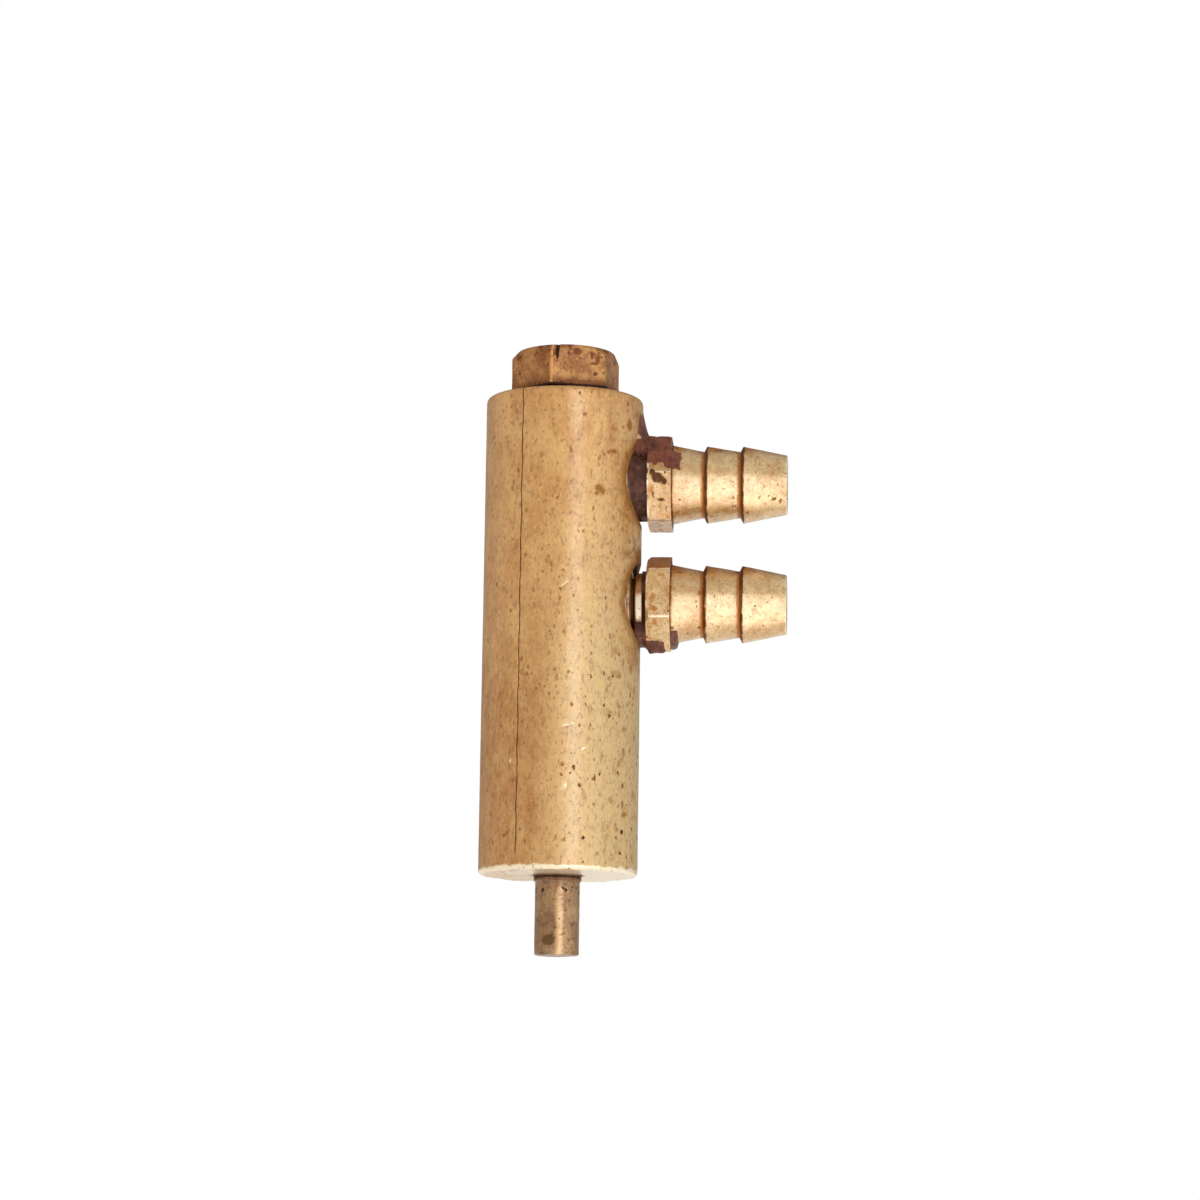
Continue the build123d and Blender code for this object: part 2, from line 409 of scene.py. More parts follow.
def specks(n, size, stretch, share, seed):
    """Scattered ragged pits, each cell with its own size, as a mask from 0 to 1."""
    at = n.place(stretch)
    inputs = {"Vector": at, "Scale": 2.2 / size, "Detail": 2.0}
    wobble = n.add("ShaderNodeTexNoise", inputs).outputs["Color"]
    shift = n.vector("SUBTRACT", {0: wobble, 1: [0.5] * 3})
    push = n.vector("SCALE", {0: shift, "Scale": 0.9 * size})
    bent = n.vector("ADD", {0: at, 1: push})
    node = n.add(
        "ShaderNodeTexVoronoi",
        {"Vector": bent, "W": seed, "Scale": 1 / size, "Randomness": 1.0},
        voronoi_dimensions="4D",
        feature="F1",
    )
    chance = n.add("ShaderNodeSeparateColor", {"Color": node.outputs["Color"]}).outputs[0]
    reach = n.band(chance, 1 - share, 1.0, 0.0, 0.38)
    return n.band(n.maths("SUBTRACT", reach, node.outputs["Distance"]), -0.02, 0.05)


def aged_brass(
    name,
    light,
    dark,
    stain,
    grain_stretch=(1, 1, 1),
    speck_stretch=(1, 1, 1),
    blotch_size=2.6,
    metal=0.6,
    roughness=(0.36, 0.50),
    speck_share=0.40,
    speck_strength=0.8,
    coat=0.5,
    bare_and_highlight=None,
    patina_and_lit_side=None,
    line_stretch=None,
    bump=0.5,
):
    """Old brass: two tones in soft blotches, fine mottling, brown specks, and painted layers.

    Layers read from the mesh: grime_and_shade (brown stains, and painted shade),
    wear_and_highlight (bared metal, and painted highlights and reflections), dirt_and_shade
    (near-black marks, and painted shade in recesses) and patina_and_lit_side (a paler tone,
    partly the brass's own tone and partly painted light on the lit side).
    """
    material, n = new_material(name)
    bare_and_highlight = bare_and_highlight or [min(c * 1.45, 0.98) for c in light]
    blotches = n.band(n.clouds(blotch_size, grain_stretch, detail=4, rough=0.6), 0.36, 0.64)
    colour = n.mix(blotches, dark, light)
    if patina_and_lit_side:
        # paler tone towards the lit side: partly the brass's own tone, partly painted light
        colour = n.mix(n.layer("patina_and_lit_side"), colour, patina_and_lit_side)
    mottle = n.clouds(0.50, grain_stretch, detail=5, rough=0.65, warp=0.4, seed=3)
    colour = n.mix(n.band(mottle, 0.47, 0.30, 0, 0.6), colour, stain)
    colour = n.mix(n.band(mottle, 0.54, 0.74, 0, 0.45), colour, [c * 1.25 for c in light])
    grain = n.clouds(0.16, grain_stretch, detail=4, rough=0.7, warp=0.6, seed=5)
    colour = n.mix(n.band(grain, 0.48, 0.30, 0, 0.75), colour, [c * 0.8 for c in stain])
    colour = n.mix(n.band(grain, 0.53, 0.70, 0, 0.6), colour, [c * 1.3 for c in light])
    fine = specks(n, 0.28, speck_stretch, speck_share, 1)
    coarse = specks(n, 0.42, speck_stretch, speck_share * 0.45, 7)
    patchy = n.band(n.clouds(2.2, seed=11), 0.36, 0.60, 0.15, 1.0)
    spots = n.maths("MULTIPLY", n.maths("MAXIMUM", fine, coarse), patchy)
    spots = n.maths("MULTIPLY", spots, speck_strength)
    if patina_and_lit_side:
        spots = n.maths("MULTIPLY", spots, n.band(n.layer("patina_and_lit_side"), 0.0, 0.9, 0.6, 1.0))
    ragged = n.maths("MULTIPLY", n.maths("SUBTRACT", mottle, 0.5), 1.1)
    grime_and_shade = n.band(n.maths("ADD", n.layer("grime_and_shade"), ragged), 0.20, 0.85)
    wear_and_highlight = n.band(n.maths("ADD", n.layer("wear_and_highlight"), ragged), 0.30, 0.80)
    dirt_and_shade = n.band(n.maths("ADD", n.layer("dirt_and_shade"), n.maths("MULTIPLY", ragged, 0.5)), 0.30, 0.62)
    # stain colour over the brown film and over the painted shade
    colour = n.mix(n.maths("MULTIPLY", grime_and_shade, 0.85), colour, stain)
    # bare colour over the bared metal and over the painted highlights and reflections
    colour = n.mix(n.maths("MULTIPLY", wear_and_highlight, 0.8), colour, bare_and_highlight)
    browned = n.clouds(0.24, speck_stretch, detail=2, seed=17)
    colour = n.mix(n.band(browned, 0.60, 0.70, 0, 0.6), colour, stain)
    colour = n.mix(spots, colour, [c * 0.60 for c in stain])
    # near-black over the dirt and over the painted shade in recesses
    colour = n.mix(dirt_and_shade, colour, [c * 0.24 for c in stain])
    cover = n.maths("MAXIMUM", n.maths("MAXIMUM", spots, dirt_and_shade), n.maths("MULTIPLY", grime_and_shade, 0.45))
    metallic = n.band(cover, 0.0, 1.0, metal, metal * 0.4)
    rough = n.band(mottle, 0.30, 0.70, roughness[1], roughness[0])
    rough = n.maths("ADD", rough, n.maths("MULTIPLY", cover, 0.18))
    rough = n.maths("SUBTRACT", rough, n.maths("MULTIPLY", wear_and_highlight, 0.08), clamp=True)
    height = n.maths("ADD", n.maths("MULTIPLY", mottle, 0.6), n.maths("MULTIPLY", grain, 0.6))
    if line_stretch:
        lines = n.clouds(0.11, line_stretch, detail=3, rough=0.7, seed=13)
        height = n.maths("ADD", height, n.maths("MULTIPLY", lines, 1.2))
        rough = n.maths("ADD", rough, n.band(lines, 0.35, 0.65, -0.06, 0.06))
        colour = n.mix(n.band(lines, 0.45, 0.30, 0, 0.30), colour, dark)
    height = n.maths("SUBTRACT", height, n.maths("MULTIPLY", cover, 0.7))
    inputs = {
        "Base Color": colour,
        "Metallic": metallic,
        "Roughness": rough,
        "Coat Weight": n.band(cover, 0.0, 0.5, coat, 0.0),
        "Specular IOR Level": 0.3,
        "Coat Roughness": 0.24,
        "Coat IOR": 1.8,
    }
    n.surface(inputs, (height, bump, 0.035))
    return material


def cured_sealant(name):
    """Maroon thread sealant, cured hard with a low gloss and paler scuffs."""
    material, n = new_material(name)
    lumps = n.clouds(0.9, detail=4, rough=0.6, seed=2)
    colour = n.mix(n.band(lumps, 0.35, 0.65), srgb(88, 45, 33), srgb(130, 72, 53))
    scuffs = n.band(n.clouds(0.30, detail=4, rough=0.7, seed=4), 0.60, 0.72, 0, 0.35)
    colour = n.mix(scuffs, colour, srgb(168, 112, 84))
    dark = n.band(n.clouds(0.6, detail=3, seed=9), 0.44, 0.32, 0, 0.7)
    colour = n.mix(dark, colour, srgb(48, 22, 17))
    ragged = n.maths("MULTIPLY", n.maths("SUBTRACT", n.clouds(0.4, detail=4, seed=5), 0.5), 1.2)
    # much darker where painted: painted shade on the sealant deep in the pocket, and the darker
    # sealant of the lower port
    deep = n.band(n.maths("ADD", n.layer("dirt_and_shade"), ragged), 0.25, 0.75, 0, 0.85)
    colour = n.mix(deep, colour, srgb(62, 34, 24))
    smear = n.band(n.maths("ADD", n.layer("wear_and_highlight"), ragged), 0.35, 0.80)
    colour = n.mix(smear, colour, srgb(214, 170, 132))
    rough = n.band(lumps, 0.3, 0.7, 0.30, 0.50)
    height = n.maths("ADD", lumps, n.maths("MULTIPLY", n.clouds(0.2, detail=3, seed=6), 0.4))
    inputs = {"Base Color": colour, "Roughness": rough, "Specular IOR Level": 0.3}
    n.surface(inputs, (height, 0.5, 0.05))
    return material


def dark_fibre(name):
    material, n = new_material(name)
    fibres = n.clouds(0.25, (1, 1, 0.3), detail=4, seed=1)
    colour = n.mix(n.band(fibres, 0.35, 0.65), srgb(84, 46, 30), srgb(120, 72, 48))
    n.surface({"Base Color": colour, "Roughness": 0.75}, (fibres, 0.5, 0.03))
    return material


def black_rubber(name):
    material, n = new_material(name)
    dust = n.clouds(0.3, detail=4, seed=1)
    colour = n.mix(n.band(dust, 0.4, 0.7), srgb(26, 26, 27), srgb(44, 43, 42))
    rough = n.band(dust, 0.3, 0.7, 0.45, 0.65)
    n.surface({"Base Color": colour, "Roughness": rough}, (dust, 0.2, 0.01))
    return material


def drawn_steel(name):
    material, n = new_material(name)
    streaks = n.clouds(0.08, (1, 1, 0.3), detail=3, seed=1)
    colour = n.mix(streaks, srgb(150, 150, 152), srgb(196, 196, 198))
    rough = n.band(streaks, 0.3, 0.7, 0.22, 0.38)
    inputs = {"Base Color": colour, "Metallic": 1.0, "Roughness": rough}
    n.surface(inputs, (streaks, 0.2, 0.01))
    return material


# ---- materials
barrel_brass = aged_brass(
    "barrel_brass",
    light=srgb(214, 166, 100),
    dark=srgb(196, 140, 72),
    stain=srgb(146, 88, 32),
    grain_stretch=(1, 1, 1.9),
    speck_stretch=(1, 1, 1.5),
    blotch_size=1.5,
    metal=0.55,
    speck_share=0.7,
    speck_strength=0.95,
    coat=0.8,
    # near-white, as it also colours the painted reflection on the lower face and the painted
    # highlights on the edges
    bare_and_highlight=srgb(250, 236, 208),
    patina_and_lit_side=srgb(206, 172, 116),
    roughness=(0.44, 0.58),
)
plug_brass = aged_brass(
    "plug_brass",
    light=srgb(200, 145, 84),
    dark=srgb(154, 94, 46),
    stain=srgb(102, 50, 22),
    blotch_size=1.3,
    metal=0.5,
    roughness=(0.42, 0.56),
    coat=0.2,
)
barb_brass = aged_brass(
    "barb_brass",
    light=srgb(226, 196, 146),
    dark=srgb(202, 159, 102),
    stain=srgb(170, 97, 20),
    blotch_size=1.6,
    metal=0.62,
    roughness=(0.32, 0.46),
    speck_share=0.6,
    speck_strength=0.95,
    coat=0.85,
    bare_and_highlight=srgb(255, 244, 220),
    line_stretch=(1, 12, 12),
    bump=0.6,
)
pin_brass = aged_brass(
    "pin_brass",
    light=srgb(175, 138, 94),
    dark=srgb(136, 94, 54),
    stain=srgb(88, 56, 28),
    grain_stretch=(1, 1, 1.6),
    blotch_size=1.2,
    metal=0.55,
    roughness=(0.34, 0.48),
    coat=0.6,
)
washer_brass = aged_brass(
    "washer_brass",
    light=srgb(196, 152, 98),
    dark=srgb(130, 84, 46),
    stain=srgb(70, 38, 22),
    blotch_size=0.7,
)
sealant_red = cured_sealant("thread_sealant")
gasket_dark = dark_fibre("gasket_fibre")
seal_black = black_rubber("seal_rubber")
spring_wire = drawn_steel("spring_steel")


def dress(piece, material):
    piece.data.materials.clear()
    piece.data.materials.append(material)


def finish_piece(piece, material, body, nodes):
    """Gives a new piece its material and its place in the frame."""
    dress(piece, material)
    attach(piece, body)
    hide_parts(*nodes)


# ---- barrel
HAIRLINE_ANGLE = -117.3
HAIRLINE_DEPTH = 0.018
PIT_DEPTH = 0.05
# dents and flecks seen on the barrel: angle, height, half length, half width, lean, depth
BARREL_DENTS = [
    (-82.8, 17.85, 0.50, 0.07, 40, 0.020),
    (-81.2, 8.95, 0.60, 0.08, 15, 0.030),
    (-69.4, 7.50, 0.30, 0.09, 20, 0.025),
    (-81.2, 5.10, 0.28, 0.12, 70, 0.035),
    (-123.2, 6.80, 0.20, 0.10, 80, 0.020),
]
# brown marks: angle, height, half length up, half width
BARREL_STAINS = [
    (-59.3, 23.95, 0.28, 0.34),
    (-56.5, 23.75, 0.22, 0.24),
    (-61.0, 23.60, 0.16, 0.18),
    (-46.9, 26.40, 0.16, 0.30),
    (-51.5, 26.30, 0.12, 0.14),
    (-30.1, 28.30, 0.40, 0.30),
    (-33.0, 26.20, 0.45, 0.20),
    (-31.5, 25.00, 0.30, 0.16),
    (-83.6, 6.45, 0.16, 0.14),
]
# dark pits: angle, height, half size
BARREL_PITS = [
    (-33.3, 2.50, 0.17),
    (-67.6, 1.95, 0.13),
    (-35.2, 1.15, 0.11),
    (-44.9, 12.15, 0.10),
    (-48.5, 11.50, 0.07),
    (-47.2, 9.65, 0.09),
    (-38.6, 6.20, 0.10),
    (-55.2, 5.95, 0.07),
    (-74.9, 29.90, 0.09),
    (-59.0, 14.20, 0.06),
]


def hairline_offset(angle, height):
    """Distance from the hairline, which wanders a little on its way up."""
    off = arc(angle, HAIRLINE_ANGLE, BARREL_R)
    return off + 0.02 * np.sin(height * 1.9) + 0.012 * np.sin(height * 5.3)


def barrel_shape(radius, height, angle):
    """Wear of the barrel's outside: dents, hairline, soft waviness and a burred lower rim."""
    spots = round_z(radius, angle, height)
    wall = smooth(BARREL_R - 0.6, BARREL_R - 0.35, radius)
    change = wall * 0.006 * cloud(spots, 1.4, 1)
    for centre, level, half_length, half_width, lean, depth in BARREL_DENTS:
        along, side = leaning(arc(angle, centre, BARREL_R), height - level, lean)
        change -= wall * depth * bell(along, half_length) * bell(side, half_width)
    for centre, level, half in BARREL_PITS:
        across = arc(angle, centre, BARREL_R)
        change -= wall * PIT_DEPTH * bell(np.hypot(across, height - level), half)
    line = bell(hairline_offset(angle, height), 0.045) * smooth(0.8, 1.3, height)
    change -= wall * HAIRLINE_DEPTH * line
    # lower rim: chipped edge and a burr at its right
    low = wall * (1 - smooth(0.25, 0.55, height))
    chips = cloud(np.stack([spots[..., 0], spots[..., 1], 0 * height], -1), 0.7, 5, 3)
    change -= low * 0.10 * np.clip(chips, 0, 1)
    burr = bell(around(angle, -8), 14) * smooth(BARREL_R - 0.35, BARREL_R - 0.05, radius)
    down = low * (0.10 * burr + 0.07 * chips)
    return radius + change, height - down


def make_barrel():
    corners = [
        (PIN_HOLE_R, 0, 0.04),
        (BARREL_R - 0.18, 0, 0.05),
        (BARREL_R, 0.16, 0.06),
        (BARREL_R, BARREL_TOP, 0.32),
        (PLUG_THREAD_R, BARREL_TOP, 0.05),
        (PLUG_THREAD_R, PLUG_SEAT, 0.03),
        (SPOOL_BORE_R, PLUG_SEAT, 0.03),
        (SPOOL_BORE_R, END_WALL, 0.03),
        (PIN_HOLE_R, END_WALL, 0.03),
    ]
    outline = arc_outline(corners, 0.125)
    # few rows are enough inside the bore
    inside = (outline[:, 0] < PLUG_THREAD_R + 0.02) & (outline[:, 1] > 0.3)
    keep = ~inside | (np.arange(len(outline)) % 8 == 0)
    angles = columns(1.5, [(HAIRLINE_ANGLE, 1.6, 0.2)])
    barrel = revolve("barrel", outline[keep], angles, barrel_shape)
    # each port: cross hole, thread and pocket, as (radius, x, rounding)
    cut_start, cut_end = SPOOL_BORE_R - 0.6, BARREL_R + 1
    steps = [
        (0, cut_start, 0),
        (CROSS_HOLE_R, cut_start, 0),
        (CROSS_HOLE_R, PORT_THREAD_FLOOR, 0),
        (PORT_THREAD_R, PORT_THREAD_FLOOR, 0),
        (PORT_THREAD_R, WASHER_LOW[0], 0),
        (POCKET_R, WASHER_LOW[0], 0.06),
        (POCKET_R, cut_end, 0),
        (0, cut_end, 0),
    ]
    for level in PORT_Z.values():
        cutter = revolve(
            "cutter",
            arc_outline(steps, 0.5, closed=False),
            columns(4),
            lambda radius, height, angle: (radius, height),
            axis="X",
            centre=(0, 0, level),
        )
        cut(barrel, cutter)
    shade(barrel)
    paint_barrel(barrel)
    finish_piece(barrel, barrel_brass, "valve", ["valve_body"])


def paint_barrel(barrel):
    at = points_mm(barrel)
    x, z = at[:, 0], at[:, 2]
    radius, angle = polar_z(at)
    wall = smooth(BARREL_R - 0.5, BARREL_R - 0.2, radius)
    barb_side = x > 0
    from_port = {port: np.hypot(at[:, 1], z - level) for port, level in PORT_Z.items()}
    # brown film: an even film, in stains, round the ports and mottled on their side; painted
    # shade adds to it on the lower left, the side away from the key light
    low_left = smooth(22, 9, z) * smooth(1.5, -1.5, x)
    grime_and_shade = [wall * (0.15 + 0.30 * low_left)]
    for centre, level, half_up, half_width in BARREL_STAINS:
        spot = bell(arc(angle, centre, BARREL_R), half_width) * bell(z - level, half_up)
        grime_and_shade.append(1.2 * spot * wall)
    for distance in from_port.values():
        near = barb_side * smooth(POCKET_R + 1.0, POCKET_R, distance)
        grime_and_shade.append(0.72 * near)
    below = barb_side * bell(z - (PORT_Z["lower"] - 3.6), 1.5)
    grime_and_shade.append(0.6 * below * bell(around(angle, -18), 20) * wall)
    smear = bell(z - (PORT_Z["lower"] + 2.9), 0.7) * bell(around(angle, -8), 15)
    grime_and_shade.append(smear * wall)
    mottled = np.clip(1.6 * cloud(at, 0.8, 91, 3), 0, 1) * smooth(0.8, 4.2, x)
    grime_and_shade.append(0.62 * mottled * wall)
    inside = 1 - smooth(PLUG_THREAD_R, PLUG_THREAD_R + 0.3, radius)
    paint(barrel, "grime_and_shade", 0.3 * inside, *grime_and_shade)
    # near-black: dirt in the pits and the hairline; painted shade on the pocket walls and in a
    # ring under the plug
    dirt_and_shade = []
    for centre, level, half in BARREL_PITS:
        distance = np.hypot(arc(angle, centre, BARREL_R), z - level)
        dirt_and_shade.append(wall * 1.1 * bell(distance, half))
    strength = 1 + 0.15 * np.sin(z * 3.1) * np.sin(z * 7.7 + 1)
    line = bell(hairline_offset(angle, z), 0.055) * smooth(0.6, 1.1, z) * strength * 0.72
    dirt_and_shade.append(wall * line)
    pocket = (x > WASHER_LOW[0] - 0.01) * (radius < BARREL_R - 0.12)
    for distance in from_port.values():
        dirt_and_shade.append(0.62 * pocket * (distance < POCKET_R + 0.05))
    seat = bell(radius - 3.05, 0.16) * smooth(BARREL_TOP - 0.1, BARREL_TOP, z)
    paint(barrel, "dirt_and_shade", 0.5 * seat, *dirt_and_shade)
    # paler tone towards the right and the bottom: partly the brass's own tone, partly painted
    # light on the side facing the key and low lights
    paint(barrel, "patina_and_lit_side", wall * smooth(-3.0, 3.5, x) * smooth(27, 12, z))
    # bared metal on the dents; the chipped lower rim is partly bared metal and partly painted
    # highlight; painted highlight along the pocket edges; painted reflection of the pale floor
    # on the lower face, stronger on the right
    chips = np.clip(cloud(np.stack([x, at[:, 1], 0 * z], -1), 0.6, 6, 3), -1, 1)
    wear_and_highlight = [1.2 * bell(z - 0.10, 0.20 + 0.14 * chips) * wall]
    for centre, level, half_length, half_width, lean, _ in BARREL_DENTS:
        along, side = leaning(arc(angle, centre, BARREL_R), z - level + 0.05, lean)
        wear_and_highlight.append(1.1 * bell(along, half_length) * bell(side, half_width * 0.8))
    for port, distance in from_port.items():
        edge = bell(distance - POCKET_R - 0.03, 0.07) * bell(z - PORT_Z[port] + 0.4, 0.9)
        wear_and_highlight.append(0.8 * edge * wall * barb_side)
    face = smooth(0.06, 0.02, z) * smooth(PIN_HOLE_R, PIN_HOLE_R + 0.3, radius)
    face = face * (0.48 + 0.6 * smooth(-3.5, 2.5, x))
    paint(barrel, "wear_and_highlight", face, *wear_and_highlight)


make_barrel()


# ---- end plug
NICK_ANGLE = -94.8
PLUG_FACE_R = 3.2
# painted highlight: the corner that faces the camera gets much more bared metal than the others
HIGHLIGHT_CORNER = 4  # the corner that faces the camera
# brown stains on the front of the plug: angle, height, half height, half width
PLUG_STAINS = [
    (-71.5, 33.00, 0.26, 0.30),
    (-54.5, 32.80, 0.30, 0.12),
    (-48.5, 32.60, 0.34, 0.12),
    (-52.0, 32.30, 0.10, 0.26),
    (-82.0, 32.85, 0.16, 0.10),
]


def make_plug():
    corner_r = PLUG_AF / math.sqrt(3)
    corners = [
        (0, PLUG_TOP, 0),
        (corner_r - 0.5, PLUG_TOP, 0.25),
        (corner_r, PLUG_TOP - 0.6, 0.25),
        (corner_r, HEX_BOTTOM, 0.06),
        (PLUG_THREAD_R - 0.02, HEX_BOTTOM, 0.04),
        (PLUG_THREAD_R - 0.02, SHANK_BOTTOM + 0.2, 0.04),
        (PLUG_THREAD_R - 0.25, SHANK_BOTTOM, 0.04),
        (PLUG_POCKET_R, SHANK_BOTTOM, 0.04),
        (PLUG_POCKET_R, PLUG_POCKET_TOP, 0.04),
        (0, PLUG_POCKET_TOP, 0),
    ]
    outline = arc_outline(corners, 0.12, closed=False)

    def shape(radius, height, angle):
        side = hex_radius(angle, PLUG_AF, PLUG_CORNER)
        in_hex = height > HEX_BOTTOM - 0.02
        worn = np.where(in_hex, np.minimum(radius, side), radius)
        outer = in_hex * smooth(2.6, 2.9, worn)
        worn = worn + outer * 0.012 * cloud(round_z(worn, angle, height), 0.9, 8)
        off = arc(angle, NICK_ANGLE, PLUG_FACE_R)
        reach = smooth(PLUG_TOP - 1.15, PLUG_TOP - 0.2, height)
        worn = worn - outer * 0.14 * bell(off, 0.04 + 0.07 * reach) * reach**0.5
        return worn, height

    fine = [(PLUG_CORNER + 60 * k, 2.2, 0.55) for k in range(6)]
    plug = revolve("hex_plug", outline, columns(2.5, [*fine, (NICK_ANGLE, 2.9, 0.4)]), shape)
    shade(plug, 28)
    at = points_mm(plug)
    z = at[:, 2]
    radius, angle = polar_z(at)
    outer = smooth(2.7, 2.95, radius)
    low = smooth(HEX_BOTTOM + 1.1, HEX_BOTTOM, z)
    patches = np.clip(1.6 * cloud(at, 0.55, 12), 0, 1)
    patches = patches * smooth(PLUG_TOP - 1.5, PLUG_TOP - 0.6, z)
    for centre, level, half_up, half_width in PLUG_STAINS:
        across = arc(angle, centre, PLUG_FACE_R)
        patches = np.maximum(patches, 1.3 * bell(across, half_width) * bell(z - level, half_up))
    # painted shade: the facets on the left, and less so those on the right, are darkened as the
    # sides turned from the camera and key light
    left = smooth(-99, -102, angle) * smooth(-170, -160, angle)
    right = smooth(-42, -38, angle) * smooth(90, 80, angle)
    films_and_shade = (0.75 * low, 0.95 * patches, 0.42 * left, 0.15 * right)
    paint(plug, "grime_and_shade", *(amount * outer for amount in films_and_shade))
    reach = smooth(PLUG_TOP - 1.1, PLUG_TOP - 0.2, z)
    nick = bell(arc(angle, NICK_ANGLE, PLUG_FACE_R), 0.05 + 0.07 * reach)
    nick = nick * smooth(PLUG_TOP - 1.12, PLUG_TOP - 0.95, z)
    # painted shade: a dark line along the hex's bottom edge, where it meets the gasket
    seam = smooth(HEX_BOTTOM + 0.22, HEX_BOTTOM + 0.06, z)
    paint(plug, "dirt_and_shade", 1.1 * nick * outer, 0.75 * seam * outer)
    corners = [bell(around(angle, PLUG_CORNER + 60 * k), 2.2) for k in range(6)]
    worn = [0.9 if k == HIGHLIGHT_CORNER else 0.3 for k in range(6)]
    paint(plug, "wear_and_highlight", *(share * corner * outer for share, corner in zip(worn, corners)))
    finish_piece(plug, plug_brass, "valve", ["end_plug"])


make_plug()


# ---- gasket
def make_gasket():
    low, high = box_mm("plug_gasket")
    outer = high[0]
    corners = [
        (PLUG_THREAD_R + 0.02, low[2], 0.03),
        (outer - 0.04, low[2], 0.06),
        (outer + 0.02, (low[2] + high[2]) / 2, 0.2),
        (outer - 0.04, high[2], 0.06),
        (PLUG_THREAD_R + 0.02, high[2], 0.03),
    ]

    def shape(radius, height, angle):
        bulge = 0.03 * cloud(round_z(radius, angle, height), 0.7, 21)
        return radius + bulge * smooth(2.7, 2.9, radius), height

    gasket = revolve("gasket_ring", arc_outline(corners, 0.12), columns(2.5), shape)
    shade(gasket)
    finish_piece(gasket, gasket_dark, "valve", ["plug_gasket"])


make_gasket()


# ---- plunger
def make_plunger():
    corners = [
        (0, STEM_TIP, 0),
        (STEM_R, STEM_TIP, 0.12),
        (STEM_R, SHOULDER_Z - 0.08, 0.05),
        (JOURNAL_R, SHOULDER_Z, 0.06),
        (JOURNAL_R, LOWER_LAND[0], 0.03),
    ]
    for (low, high), middle in zip((LOWER_LAND, UPPER_LAND), SEAL_Z):
        start, end = middle - SEAL_GROOVE_HALF, middle + SEAL_GROOVE_HALF
        corners += [
            (LAND_R, low, 0.05),
            (LAND_R, start, 0.03),
            (SEAL_GROOVE_R, start, 0.03),
            (SEAL_GROOVE_R, end, 0.03),
            (LAND_R, end, 0.03),
            (LAND_R, high, 0.05),
        ]
        if middle == SEAL_Z[0]:
            corners += [(NECK_R, high, 0.1), (NECK_R, UPPER_LAND[0], 0.1)]
    corners += [(SPIGOT_R, UPPER_LAND[1], 0.05), (SPIGOT_R, SPIGOT_TOP, 0.15)]
    corners += [(0, SPIGOT_TOP, 0)]
    outline = arc_outline(corners, 0.10, closed=False)
    hidden = (outline[:, 1] > 3.0) & (np.arange(len(outline)) % 3 != 0)
    outline = outline[~hidden]

    def shape(radius, height, angle):
        outside = smooth(0.3, -0.2, height)
        rough = cloud(round_z(radius, angle, height), 0.6, 31)
        tip = smooth(STEM_TIP + 0.35, STEM_TIP, height)
        worn = outside * (0.010 * rough + 0.035 * tip * np.minimum(rough, 0.1))
        return radius + worn * smooth(0.4, 1.2, radius), height + 0.05 * tip * rough * outside

    pin = revolve("plunger_pin", outline, columns(4), shape)
    shade(pin)
    at = points_mm(pin)
    z = at[:, 2]
    angle = polar_z(at)[1]
    outside = smooth(0.1, -0.1, z)
    # painted shade: a ring where the pin leaves the barrel's bottom face, and a band down the
    # front-left side, away from the key light
    ring = smooth(-0.75, -0.25, z)
    blotch = bell(around(angle, -108), 22) * bell(z + 4.1, 0.42)
    amount = bell(around(angle, -120), 40) * 0.45
    lower = smooth(STEM_TIP + 0.5, STEM_TIP + 0.1, z) * 0.45
    mottled = 0.65 * np.clip(1.5 * cloud(at, 0.45, 33, 3), 0, 1)
    films_and_shade = (0.7 * ring, 1.2 * blotch, amount, lower, mottled)
    paint(pin, "grime_and_shade", *(layer * outside for layer in films_and_shade))
    # dirt flecks near the top, and a dark line of painted shade just under the barrel's bottom
    # face
    flecks = np.clip(2.2 * cloud(at, 0.30, 35) - 0.3, 0, 1) * bell(z + 1.0, 0.60)
    line = bell(z + 0.12, 0.13) * 0.75
    paint(pin, "dirt_and_shade", line * outside, 0.8 * flecks * outside)
    # painted highlight: a bright streak down the front of the pin, on the key light's side
    paint(pin, "wear_and_highlight", bell(around(angle, -80), 14) * smooth(-0.4, -1.0, z) * 0.8)
    finish_piece(pin, pin_brass, "spool", ["plunger"])


make_plunger()


# ---- hose barbs
def barb_corners():
    """Outline of a barb as (radius, x, rounding), thread end first, closed through the bore."""
    crest, root = PORT_THREAD_R - 0.02, PORT_THREAD_R - 0.37
    corners = [(BARB_BORE_R, SHANK_END, 0.03), (root, SHANK_END, 0.05)]
    x = SHANK_END + 0.05
    while x + THREAD_PITCH < WASHER_HIGH[0]:
        corners += [
            (root, x, 0.05),
            (crest, x + 0.30 * THREAD_PITCH, 0.05),
            (crest, x + 0.55 * THREAD_PITCH, 0.05),
            (root, x + 0.85 * THREAD_PITCH, 0.05),
        ]
        x += THREAD_PITCH
    flange_r = FLANGE_AF / math.sqrt(3)
    corners += [
        (root, 4.62, 0.08),
        (crest - 0.03, 4.76, 0.10),
        (crest, 5.16, 0.10),
        (root, 5.26, 0.05),
        (root, FLANGE_X[0], 0.05),
        (flange_r - 0.15, FLANGE_X[0], 0.05),
        (flange_r, FLANGE_X[0] + 0.15, 0.08),
        (flange_r, FLANGE_X[1], 0.08),
        (BARB_RINGS[0][1] + 0.02, FLANGE_X[1], 0.06),
    ]
    for i, (start, _, end_r) in enumerate(BARB_RINGS):
        if i + 1 < len(BARB_RINGS):
            following, following_r = BARB_RINGS[i + 1][:2]
            corners += [(end_r, following - 0.18, 0.05), (following_r, following, 0.06)]
        else:
            corners += [(end_r, BARB_END, 0.10), (BARB_BORE_R + 0.06, BARB_END, 0.06)]
    corners += [(BARB_BORE_R, BARB_END - 0.08, 0.05)]
    return corners


